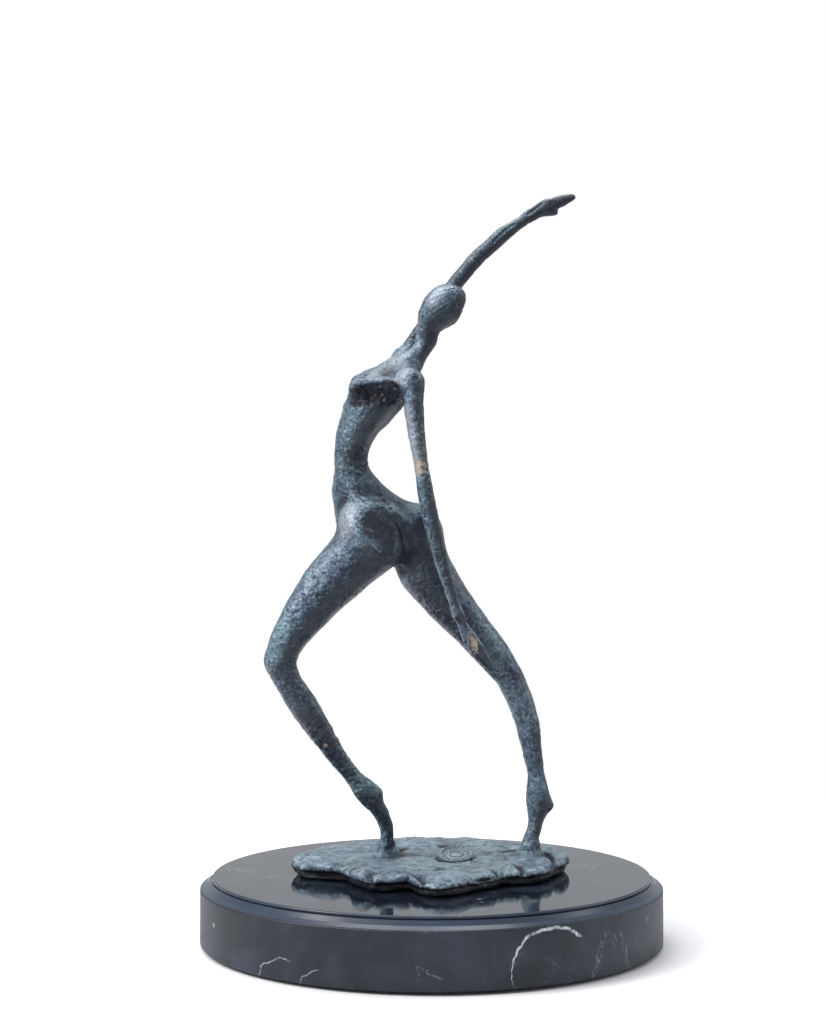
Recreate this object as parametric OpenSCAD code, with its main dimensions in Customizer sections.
// Bronze statuette of a dancing figure on a round, stepped marble base.
// The bronze is built from its cast sections, each joined to the next over a
// register pin, and two studs hold its ground plate down on the marble.
// Lengths are in millimetres, +Z is up and the origin is at the centre of the
// bottom, on the underside of the felt pads. The front of the base is -Y, and
// the figure turns its own left side to the front.

/* [Marble base] */
// Diameter of the marble drum
marble_d = 227; // [226:1:240]
// Height of the drum below its moulding
drum_h = 27; // [27:0.5:32]
// Height of the moulding that carries the polished top
mould_h = 5.3; // [4.7:0.2:6.3]
// How far the polished top stands in from the drum
mould_in = 6; // [5:0.5:8]

/* [Bronze figure] */
// Extra roundness of every limb
fullness = 0; // [-0.2:0.1:0.4]
// Radius over which one muscle blends into the next
blend = 1.8; // [1.4:0.1:2.2]
// Facet size on the torso, the legs and the ground
coarse = 3; // [2.8:0.1:3.4]
// Facet size on the arms and the head
fine = 2.2; // [2:0.1:2.6]

/* [Ground plate] */
// Length of the bronze ground, left to right
ground_l = 135; // [130:1:140]
// Depth of the bronze ground, front to back
ground_w = 118; // [110:1:122]
// Usual height of the bronze ground above the marble
ground_h = 8.5; // [8:0.5:10]
// Diameter of the round foundry seal
seal_d = 17; // [15:0.5:18]

/* [Fixings] */
// Diameter of the register pins in the neck, the shoulders and the feet
pin_d = 2.4; // [2:0.2:2.6]
// Diameter of the register pins in the hips
hip_pin_d = 4; // [3:0.5:5]
// Thread diameter of the two base studs
stud_d = 6; // [6:1:6]
// Distance between the two base studs
stud_pitch = 68; // [66:1:72]
// Thickness of the felt pads
pad_t = 1.5; // [1:0.5:3]

/* [Hidden] */
$fn = 96;

bronze = [0.30, 0.37, 0.42];
steel = [0.72, 0.73, 0.75];
marble_r = marble_d / 2;
marble_h = drum_h + mould_h;

// Muscles and bones of the figure. Each list runs along one of them, and a row
// is x, y, height above the underside of the marble, and radius there.
spine = [[-18, 0, 203, 12], [-31, 2, 215, 11], [-39, 2, 228, 8.5], [-40, 1, 239, 8], [-38, 0, 248, 9],
         [-33, 0, 260, 10.5], [-26, 0, 270, 10], [-17, 1, 278, 7], [-11, 2, 283, 5]];
left_ribs = [[-37, -5, 246, 5.5], [-31, -8, 258, 8], [-23, -9, 267, 8], [-16, -10, 272, 6]];
right_ribs = [[-38, 6, 246, 5.5], [-33, 9, 259, 8], [-26, 11, 268, 7.5], [-19, 13, 277, 6]];
hips = [[-31, -6, 204, 15], [-7, 8, 200, 12]];
belly = [[-40, 6, 220, 9.5], [-36, 8, 205, 11]];
chest = [[-35, 0, 273, 5], [-26, 1, 275, 6], [-16, 2, 280, 6]];
back = [[-27, 3, 260, 8], [-18, 2, 269, 7.5]];
left_buttock = [[-27, -13, 202, 13], [-28, -12, 200, 13]];
right_buttock = [[-7, -2, 203, 11], [-7, -1, 201, 11]];
shoulders = [[-10, -19, 273, 5.5], [-15, 0, 278, 6.5], [-15, 20, 287, 5]];
left_breast = [[-32, -8, 268, 7], [-36, -10, 270, 5], [-40, -11, 272, 1.5]];
right_breast = [[-32, 10, 271, 6.5], [-36, 12, 272, 5], [-40, 13, 273, 1.5]];
neck = [[-13, 1, 280, 5], [-6, 3, 289, 4.5], [-2, 4, 295, 4.5]];
skull = [[-2, 4, 300, 5], [1, 4, 307, 8], [5, 4, 311, 10], [7, 4, 314, 9]];
bun = [[8, 3, 313, 4], [13, 2, 317, 3.5]];
left_arm_line = [[-10, -20, 273, 5.5], [-9, -22, 263, 5], [-7, -24, 245, 4], [-5, -25, 232, 3.5],
                 [-3, -25, 219, 4], [0, -23, 204, 4], [5, -20, 185, 3.5], [12, -17, 162, 2.5]];
left_hand = [[13, -17, 160, 2.5], [17, -15, 151, 4], [22, -14, 143, 4.5], [28, -12, 135, 3],
             [34, -10, 129, 1]];
right_arm_line = [[-13, 22, 288, 4.5], [-7, 27, 299, 4], [5, 34, 317, 4], [14, 38, 329, 4], [24, 41, 341, 4],
                  [37, 44, 353, 4], [51, 47, 363, 2.5]];
right_hand = [[51, 47, 363, 2.5], [59, 48, 368, 4], [67, 49, 371, 3.5], [75, 50, 374, 2]];
right_thumb = [[61, 48, 366, 2], [68, 47, 364, 1]];
left_leg_line = [[-27, -6, 196, 15], [-38, -9, 187, 14.5], [-51, -13, 174, 13], [-62, -17, 160, 10.5],
                 [-70, -19, 148, 8.5], [-74, -20, 138, 7.5], [-69, -19, 127, 6.5], [-62, -17, 116, 7],
                 [-54, -14, 103, 6], [-45, -10, 89, 4.5], [-37, -7, 79, 4], [-30, -5, 70, 3.5]];
left_foot = [[-34, -6, 74, 4], [-29, -5, 68, 4], [-25, -4, 63, 4], [-22, -2, 55, 3.5], [-21, 0, 46, 3.5],
             [-21, 0, 38, 4]];
left_heel = [[-31, -5, 74, 3.5], [-26, -5, 73, 2]];
right_leg_line = [[-8, 6, 194, 13.5], [-3, 9, 181, 13.5], [8, 11, 166, 11.5], [20, 12, 152, 9.5],
                  [31, 12, 139, 8.5], [39, 11, 128, 7], [44, 10, 117, 6.5], [48, 8, 105, 6], [50, 6, 92, 5],
                  [52, 4, 80, 4], [53, 3, 70, 4]];
right_foot = [[52, 3, 74, 4], [52, 3, 66, 4.5], [52, 2, 60, 4.5], [51, 1, 54, 3.5], [49, 0, 49, 3.5],
              [48, 0, 44, 3.5], [48, 0, 38, 4]];
right_heel = [[54, 3, 67, 4], [59, 3, 65, 2.5]];

// A hand is flat across this direction, and this many times wider than thick
left_palm = [0.3, 0.93, 0.2];
right_palm = [0, 1, 0];
left_hand_flat = 1.9;
right_hand_flat = 1.7;

// Joints between the cast sections: a point on the joint, and the way the limb leaves
crotch = [-21, 1, 179];
left_hip_way = [-0.7, -0.2, -0.7];
right_hip_way = [0.55, 0.2, -0.8];
leg_parting = [-0.85, -0.55, 0];
neck_joint = [-6, 3, 289];
neck_way = [0.55, 0.2, 0.81];
left_shoulder = [-10, -20, 273];
left_arm_way = [0.15, -0.2, -0.97];
left_armpit = [-14, -15, 273];
left_arm_side = [0.35, -0.93, 0];
right_shoulder = [-13, 22, 288];
right_arm_way = [0.5, 0.35, 0.8];
beside_neck = [-10, 15, 290];
foot_joint_h = 48;

// Bronze ground: its middle, the mounds that the toes and the seal stand on, and
// its edge, as the distance from the middle at each angle in degrees
ground_mid = [0.5, -7];
mounds = [[-21, 1, 7], [48, 1, 8], [12, -4, 9.5]];
ground_edge = [[0, 65], [15, 71], [40, 66], [65, 60], [90, 57], [115, 58], [140, 62], [160, 68], [180, 69],
               [190, 66], [198, 53], [205, 48], [220, 51], [240, 57], [247, 50], [255, 45], [265, 58],
               [272, 63], [280, 59], [290, 52], [300, 51], [318, 47], [330, 57], [350, 61], [360, 65]];
usual_l = 135;
usual_w = 118;
lip_round = 2.6;
undercut_h = 3.5;
wall = 8;
pocket_h = 3;
boss_d = 14;
mound_h = 6;
mound_taper = 3;
earth_slope = 0.022;
lumps = [0.45, 0.3];

// Foundry seal
seal_t = 1.6;
seal_at = [12, -8];
seal_tilt = 15;
seal_rise = 1;
seal_stem_d = 4;
seal_stem_l = 2.5;
seal_fit = 0.4;
seal_bevel = 0.3;
seal_rim = 1.1;
seal_face_t = 1.2;
seal_ring_t = 1.5;
seal_ring = [3.4, 4.3];
seal_boss = [1, 1.8];

// Fixings through the marble
bore_d = stud_d + 1;
counterbore_d = 24;
counterbore_h = 14;
cushion_t = 1;
washer_t = 1.6;
washer_d = 18;
cushion_d = 20;
washer_slack = 0.4;
stud_tail = 2.5;
nut_h = 5;
nut_across = 10;
thread_in = 5.5;
pad_d = 20;
pad_ring = 94;
clearance = 0.05;

// Marble profile
arris = 0.8;
nose = 0.8;
nose_h = 1.7;
groove = 0.4;
step_h = 0.1;
cove = [0.25, 0.35];

// ---- geometry of the rounded bodies ----

function total(v) = v * [for (x = v) 1];

// The tapered links along one muscle. flat widens distances along an axis.
function links(pts, flat = [0, 0, 0]) = [
    for (i = [0:len(pts) - 2])
    let (a = [pts[i].x, pts[i].y, pts[i].z],
         d = [pts[i + 1].x, pts[i + 1].y, pts[i + 1].z] - a,
         w = d + flat * (d * flat))
    [a, w, pts[i][3] + fullness, pts[i + 1][3] - pts[i][3], flat, 1 / (w * w)]];

// Distance from a point to the surface of one muscle
function gap(p, muscle) = min([
    for (l = muscle)
    let (v = p - l[0], w = v + l[4] * (v * l[4]), t = min(1, max(0, w * l[1] * l[5])))
    norm(w - t * l[1]) - l[2] - t * l[3]]);

// Several distances melted into one, so that the bodies blend
function melt(gaps) =
    let (near = min(gaps))
    near > 8 ? near : near - blend * ln(total([for (g = gaps) exp((near - g) / blend)]));

function field(p, muscles) = melt([for (m = muscles) gap(p, m)]);

corners = [[0, 0, 0], [1, 0, 0], [0, 1, 0], [1, 1, 0], [0, 0, 1], [1, 0, 1], [0, 1, 1], [1, 1, 1]];
edges = [[0, 1], [2, 3], [4, 5], [6, 7], [0, 2], [1, 3], [4, 6], [5, 7], [0, 4], [1, 5], [2, 6], [3, 7]];

function mean(pts) = [total([for (p = pts) p.x]), total([for (p = pts) p.y]), total([for (p = pts) p.z])]
                     / len(pts);

// One step down the slope of a distance onto its surface
function settle(p, f) =
    let (e = 0.1, f0 = f(p),
         g = [f(p + [e, 0, 0]) - f0, f(p + [0, e, 0]) - f0, f(p + [0, 0, e]) - f0] / e)
    p - g * max(-1, min(1, f0 / max(0.2, g * g)));

// A value of the grid, or just inside if it parts two inner corners that meet
// only diagonally, where the skin would pinch itself along an edge
turns = [for (a = [-1, 1], b = [-1, 1]) each
    [[[a, 0, 0], [0, b, 0]], [[a, 0, 0], [0, 0, b]], [[0, a, 0], [0, 0, b]]]];
function value_at(v, q) = v[q.x][q.y][q.z];
function mend(v, q, n) =
    let (own = value_at(v, q))
    own < 0 || min(q) < 1 || min(n - q) < 1 ? own :
    len([for (t = turns)
        if (value_at(v, q + t[0]) < 0 && value_at(v, q + t[1]) < 0 &&
            value_at(v, q + t[0] + t[1]) >= own) 1]) > 0 ? -0.01 : own;

// A closed skin over the part of a distance f that lies in a box: one point in
// every cell that the surface crosses, and one face across every crossed edge
module skin(lo, hi, step, f) {
    n = [for (i = [0:2]) ceil((hi[i] - lo[i]) / step)];
    raw = [for (i = [0:n.x]) [for (j = [0:n.y]) [for (k = [0:n.z])
        (i == 0 || j == 0 || k == 0 || i == n.x || j == n.y || k == n.z)
            ? max(step / 2, f(lo + step * [i, j, k])) : f(lo + step * [i, j, k])]]];
    v = [for (i = [0:n.x]) [for (j = [0:n.y]) [for (k = [0:n.z]) mend(raw, [i, j, k], n)]]];
    crossed = [for (i = [0:n.x - 1], j = [0:n.y - 1], k = [0:n.z - 1])
        let (inner = total([for (c = corners) v[i + c.x][j + c.y][k + c.z] < 0 ? 1 : 0]))
        inner > 0 && inner < 8 ? 1 : 0];
    rank = [for (c = 0, s = 0; c < len(crossed); s = s + crossed[c], c = c + 1) s];
    points = [for (i = [0:n.x - 1], j = [0:n.y - 1], k = [0:n.z - 1])
        if (crossed[(i * n.y + j) * n.z + k] == 1)
        let (w = [for (c = corners) v[i + c.x][j + c.y][k + c.z]],
             cuts = [for (e = edges) if ((w[e[0]] < 0) != (w[e[1]] < 0))
                 corners[e[0]] + (corners[e[1]] - corners[e[0]]) * w[e[0]] / (w[e[0]] - w[e[1]])])
        settle(lo + step * ([i, j, k] + mean(cuts)), f)];
    function id(i, j, k) = rank[(i * n.y + j) * n.z + k];
    quads = [for (i = [0:n.x - 1], j = [0:n.y - 1], k = [0:n.z - 1]) let (a = v[i][j][k] < 0) each [
        if (j > 0 && k > 0 && a != (v[i + 1][j][k] < 0))
            [a, [id(i, j - 1, k - 1), id(i, j, k - 1), id(i, j, k), id(i, j - 1, k)]],
        if (i > 0 && k > 0 && a != (v[i][j + 1][k] < 0))
            [a, [id(i - 1, j, k - 1), id(i - 1, j, k), id(i, j, k), id(i, j, k - 1)]],
        if (i > 0 && j > 0 && a != (v[i][j][k + 1] < 0))
            [a, [id(i - 1, j - 1, k), id(i, j - 1, k), id(i, j, k), id(i - 1, j, k)]]]];
    faces = [for (q = quads) let (
        r = q[0] ? [for (m = [3:-1:0]) q[1][m]] : q[1],
        short = norm(points[r[0]] - points[r[2]]) < norm(points[r[1]] - points[r[3]]))
        each (short ? [[r[0], r[1], r[2]], [r[0], r[2], r[3]]] : [[r[0], r[1], r[3]], [r[1], r[2], r[3]]])];
    polyhedron(points, faces, convexity = 10);
}

// The same, in a box with room around the rows of some muscles
margin = 6.5;
module skin_over(rows, step, f) skin(
    [for (i = [0:2]) min([for (r = rows) r[i] - r[3]]) - margin],
    [for (i = [0:2]) max([for (r = rows) r[i] + r[3]]) + margin], step, f);

// Turns +Z to a direction
module facing(way) rotate([0, acos(way.z / norm(way)), atan2(way.y, way.x)]) children();

// Everything on one side of a plane through a point
module beyond(at, way, reach = 260) translate(at) facing(way) translate([-reach, -reach, 0]) cube(2 * reach);

// One piece of bronze, fused from what is inside it
module cast() resize([0, 0, 0]) children();

// A round pin or its bore, centred on a joint
module pin_shape(at, way, d, length, gap = 0) translate(at) facing(way)
    cylinder(d = d + 2 * gap, h = length + 2 * gap, center = true);

// Stands the whole object on its felt pads
module lift() translate([0, 0, pad_t]) children();

// ---- the muscles that each section needs ----

trunk_rows = [spine, left_ribs, right_ribs, hips, belly, chest, back, left_buttock, right_buttock, shoulders,
              left_breast, right_breast, neck];
trunk = [for (m = trunk_rows) links(m)];
limb_roots = [links([for (i = [0:2]) left_leg_line[i]]), links([for (i = [0:2]) right_leg_line[i]]),
              links([for (i = [0:1]) left_arm_line[i]]), links([for (i = [0:1]) right_arm_line[i]])];
pelvis = [hips, belly, left_buttock, right_buttock, spine];
left_leg_muscles = [for (m = concat([left_leg_line, left_foot, left_heel, right_leg_line], pelvis)) links(m)];
right_leg_muscles = [for (m = concat([right_leg_line, right_foot, right_heel, left_leg_line], pelvis)) links(m)];
left_arm_muscles = concat([for (m = [left_arm_line, shoulders, left_ribs, spine]) links(m)],
                          [links(left_hand, left_palm * sqrt(left_hand_flat - 1))]);
right_arm_muscles = concat([for (m = [right_arm_line, right_thumb, shoulders, right_ribs, spine]) links(m)],
                           [links(right_hand, right_palm * sqrt(right_hand_flat - 1))]);
head_muscles = [for (m = [skull, bun, neck, spine]) links(m)];

// ---- regions that part one cast section from the next ----

module left_leg_region() intersection() {
    beyond(crotch, left_hip_way);
    beyond(crotch, leg_parting);
}

module right_leg_region() intersection() {
    beyond(crotch, right_hip_way);
    beyond(crotch, -leg_parting);
}

module left_arm_region() intersection() {
    beyond(left_shoulder, left_arm_way);
    beyond(left_armpit, left_arm_side);
}

module right_arm_region() intersection() {
    beyond(right_shoulder, right_arm_way);
    beyond(beside_neck, [0, 1, 0]);
}

module head_region() intersection() {
    beyond(neck_joint, neck_way);
    beyond(beside_neck, [0, -1, 0]);
}

// ---- register pins ----

function leg_start(line, way) =
    let (top = [line[0].x, line[0].y, line[0].z]) top + way * ((crotch - top) * way) / (way * way);

left_hip = leg_start(left_leg_line, left_hip_way);
right_hip = leg_start(right_leg_line, right_hip_way);
left_toe = [left_foot[4].x, left_foot[4].y, foot_joint_h];
right_toe = [right_foot[5].x + 1, right_foot[5].y, foot_joint_h];
hip_pin_l = 26;
neck_pin_l = 14;
shoulder_pin_l = 11;
foot_pin_l = 16;
foot_pin_drop = 2.5;

module left_hip_pin_shape(gap = 0) pin_shape(left_hip, left_hip_way, hip_pin_d, hip_pin_l, gap);
module right_hip_pin_shape(gap = 0) pin_shape(right_hip, right_hip_way, hip_pin_d, hip_pin_l, gap);
module neck_pin_shape(gap = 0) pin_shape(neck_joint, neck_way, pin_d, neck_pin_l, gap);
module left_shoulder_pin_shape(gap = 0) pin_shape(left_shoulder, left_arm_way, pin_d, shoulder_pin_l, gap);
module right_shoulder_pin_shape(gap = 0) pin_shape(right_shoulder, right_arm_way, pin_d, shoulder_pin_l, gap);
module foot_pin_shape(toe, gap = 0)
    pin_shape(toe - [0, 0, foot_pin_drop], [0, 0, 1], pin_d, foot_pin_l, gap);

module left_hip_pin() color("darkgoldenrod") lift() left_hip_pin_shape();
module right_hip_pin() color("darkgoldenrod") lift() right_hip_pin_shape();
module neck_pin() color("darkgoldenrod") lift() neck_pin_shape();
module left_shoulder_pin() color("darkgoldenrod") lift() left_shoulder_pin_shape();
module right_shoulder_pin() color("darkgoldenrod") lift() right_shoulder_pin_shape();
module left_foot_pin() color("darkgoldenrod") lift() foot_pin_shape(left_toe);
module right_foot_pin() color("darkgoldenrod") lift() foot_pin_shape(right_toe);

// ---- cast sections of the figure ----

module torso() color(bronze) lift() difference() {
    cast() difference() {
        skin_over([for (m = trunk_rows) each m], coarse, function(p) field(p, concat(trunk, limb_roots)));
        left_leg_region();
        right_leg_region();
        left_arm_region();
        right_arm_region();
        head_region();
    }
    left_hip_pin_shape(clearance);
    right_hip_pin_shape(clearance);
    neck_pin_shape(clearance);
    left_shoulder_pin_shape(clearance);
    right_shoulder_pin_shape(clearance);
}

module head() color(bronze) lift() difference() {
    cast() intersection() {
        skin_over(concat(skull, bun, [neck[2]]), fine, function(p) field(p, head_muscles));
        head_region();
    }
    neck_pin_shape(clearance);
}

module left_arm() color(bronze) lift() difference() {
    cast() intersection() {
        skin_over(concat(left_arm_line, left_hand), fine, function(p) field(p, left_arm_muscles));
        left_arm_region();
    }
    left_shoulder_pin_shape(clearance);
}

module right_arm() color(bronze) lift() difference() {
    cast() intersection() {
        skin_over(concat(right_arm_line, right_hand), fine, function(p) field(p, right_arm_muscles));
        right_arm_region();
    }
    right_shoulder_pin_shape(clearance);
}

module left_leg() color(bronze) lift() difference() {
    cast() intersection() {
        skin_over(concat(left_leg_line, left_foot), coarse, function(p) field(p, left_leg_muscles));
        left_leg_region();
        beyond([0, 0, foot_joint_h], [0, 0, 1]);
    }
    left_hip_pin_shape(clearance);
    foot_pin_shape(left_toe, clearance);
}

module right_leg() color(bronze) lift() difference() {
    cast() intersection() {
        skin_over(concat(right_leg_line, right_foot, right_heel), coarse,
                  function(p) field(p, right_leg_muscles));
        right_leg_region();
        beyond([0, 0, foot_joint_h], [0, 0, 1]);
    }
    right_hip_pin_shape(clearance);
    foot_pin_shape(right_toe, clearance);
}

// ---- bronze ground ----

ground_scale = [ground_l / usual_l, ground_w / usual_w];
ground_reach = max([for (e = ground_edge) e[1]]) * max(ground_scale) + margin;

// How far the ground's edge is from its middle at an angle
function edge_reach(a) =
    lookup((a + 360) % 360, ground_edge) * norm([cos(a) * ground_scale.x, sin(a) * ground_scale.y]);

// Height of the modelled earth: higher at the back, with soft lumps
function earth(x, y) = ground_h + earth_slope * y + lumps[0] * sin(11 * x + 40) * sin(13 * y)
                       + lumps[1] * sin(31 * x) * sin(27 * y + 50);

// Distance to the ground: a lumpy slab with a rounded lip that is undercut
function slab_gap(p) =
    let (x = p.x - ground_mid.x, y = p.y - ground_mid.y, top = earth(x, y), z = p.z - marble_h,
         side = norm([x, y]) - edge_reach(atan2(y, x)) + max(0, undercut_h - z) + lip_round,
         over = abs(z - top / 2 + 2) - top / 2 - 2 + lip_round)
    norm([max(side, 0), max(over, 0)]) + min(max(side, over), 0) - lip_round;

mound_muscles = [for (m = mounds)
    links([[m.x, m.y, marble_h - 2, m[2]], [m.x, m.y, marble_h + mound_h, m[2] - mound_taper]])];
toe_muscles = [links([for (i = [3:5]) left_foot[i]]), links([for (i = [3:6]) right_foot[i]])];

function ground_field(p) =
    melt(concat([slab_gap(p)], [for (m = concat(mound_muscles, toe_muscles)) gap(p, m)]));

module pocket() translate([0, 0, marble_h - 1]) linear_extrude(pocket_h + 1)
    translate(ground_mid) polygon([for (a = [0:10:350]) (edge_reach(a) - wall) * [cos(a), sin(a)]]);

module bosses()
    for (at = [[-stud_pitch / 2, 0], [stud_pitch / 2, 0], left_toe, right_toe, seal_at])
        translate([at.x, at.y, 0]) cylinder(d = boss_d, h = marble_h + pocket_h + 1);

seal_floor = marble_h + earth(seal_at.x - ground_mid.x, seal_at.y - ground_mid.y) + seal_rise;
module at_seal() translate([seal_at.x, seal_at.y, seal_floor]) rotate([seal_tilt, 0, 0]) children();

module ground_plate() color(bronze) lift() difference() {
    cast() intersection() {
        skin([ground_mid.x - ground_reach, ground_mid.y - ground_reach, marble_h - margin],
             [ground_mid.x + ground_reach, ground_mid.y + ground_reach, foot_joint_h + margin],
             coarse, function(p) ground_field(p));
        beyond([0, 0, marble_h], [0, 0, 1]);
        beyond([0, 0, foot_joint_h], [0, 0, -1]);
    }
    difference() {
        pocket();
        bosses();
    }
    for (x = [-1, 1]) translate([x * stud_pitch / 2, 0, marble_h - 1])
        cylinder(d = stud_d + 2 * clearance, h = thread_in + 1 + clearance);
    foot_pin_shape(left_toe, clearance);
    foot_pin_shape(right_toe, clearance);
    at_seal() {
        cylinder(d = seal_d + seal_fit, h = mound_h);
        translate([0, 0, -seal_stem_l - clearance]) cylinder(d = seal_stem_d + 2 * clearance, h = mound_h);
    }
}

// Round seal with a raised rim, an inner ring and a domed middle
module foundry_seal() color([0.42, 0.50, 0.52]) lift() at_seal() {
    r = seal_d / 2;
    fall = seal_t - seal_face_t;
    rotate_extrude() polygon([[0, -seal_stem_l], [seal_stem_d / 2, -seal_stem_l], [seal_stem_d / 2, 0],
        [r - seal_bevel, 0], [r, seal_bevel], [r, seal_t - seal_bevel], [r - seal_bevel, seal_t],
        [r - seal_rim, seal_t], [r - seal_rim - fall, seal_face_t], [r - seal_ring[0], seal_face_t],
        [r - seal_ring[0] - fall / 2, seal_ring_t], [r - seal_ring[1] + fall / 2, seal_ring_t],
        [r - seal_ring[1], seal_face_t], [seal_boss[1], seal_face_t], [seal_boss[0], seal_t], [0, seal_t]]);
}

// ---- marble base and its fixings ----

// Points of an arc about a centre
function arc(c, r, from, to, steps = 8) =
    [for (i = [0:steps]) let (a = from + (to - from) * i / steps) c + [r.x * cos(a), r.y * sin(a)]];

module marble_base() color([0.16, 0.18, 0.20]) lift() difference() {
    top_r = marble_r - mould_in;
    shelf_h = marble_h - nose_h;
    band = [marble_r - arris, drum_h + step_h];
    slope = [top_r + nose, shelf_h] - band;
    rotate_extrude($fn = 180) polygon(concat(
        [[0, 0], [marble_r - arris, 0], [marble_r, arris]],
        arc([marble_r - arris, drum_h - arris], [arris, arris], 0, 90, 4),
        [band, band + slope / 2 - cove, [top_r + nose, shelf_h], [top_r + nose, shelf_h - groove],
         [top_r - groove, shelf_h - groove], [top_r - groove, shelf_h]],
        arc([top_r - nose, marble_h - nose], [nose, nose], -45, 90),
        [[0, marble_h]]));
    for (x = [-1, 1]) translate([x * stud_pitch / 2, 0, -1]) {
        cylinder(d = bore_d, h = marble_h + 2);
        cylinder(d = counterbore_d, h = counterbore_h + 1);
    }
}

// The same thing at both studs
module at_studs(h) for (x = [-1, 1]) translate([x * stud_pitch / 2, 0, h]) children();

module ring(outer, inner, h) difference() {
    cylinder(d = outer, h = h);
    translate([0, 0, -1]) cylinder(d = inner, h = h + 2);
}

washer_h = counterbore_h - cushion_t - washer_t;
stud_low = washer_h - nut_h - stud_tail;

module cushion_washers() color([0.12, 0.12, 0.12]) lift()
    at_studs(counterbore_h - cushion_t) ring(cushion_d, stud_d + washer_slack, cushion_t);

module base_washers() color(steel) lift() at_studs(washer_h) ring(washer_d, stud_d + washer_slack, washer_t);

// Hexagon nuts with turned corners
module base_nuts() color(steel) lift() at_studs(washer_h - nut_h) intersection() {
    difference() {
        rotate([0, 0, 30]) cylinder(d = nut_across / cos(30), h = nut_h, $fn = 6);
        translate([0, 0, -1]) cylinder(d = stud_d + 2 * clearance, h = nut_h + 2);
    }
    cylinder(r1 = nut_across / 2 + nut_h + 0.1, r2 = nut_across / 2 + 0.1, h = nut_h + 0.01);
    cylinder(r1 = nut_across / 2 + 0.1, r2 = nut_across / 2 + nut_h + 0.1, h = nut_h);
}

module base_studs() color(steel) lift()
    at_studs(stud_low) cylinder(d = stud_d, h = marble_h + thread_in - stud_low);

module felt_pads() color([0.10, 0.12, 0.11])
    for (a = [45:90:315]) rotate(a) translate([pad_ring, 0, 0]) cylinder(d = pad_d, h = pad_t);

felt_pads();
marble_base();
base_nuts();
base_washers();
cushion_washers();
base_studs();
ground_plate();
foundry_seal();
left_foot_pin();
right_foot_pin();
left_leg();
right_leg();
left_hip_pin();
right_hip_pin();
torso();
neck_pin();
head();
left_shoulder_pin();
right_shoulder_pin();
left_arm();
right_arm();
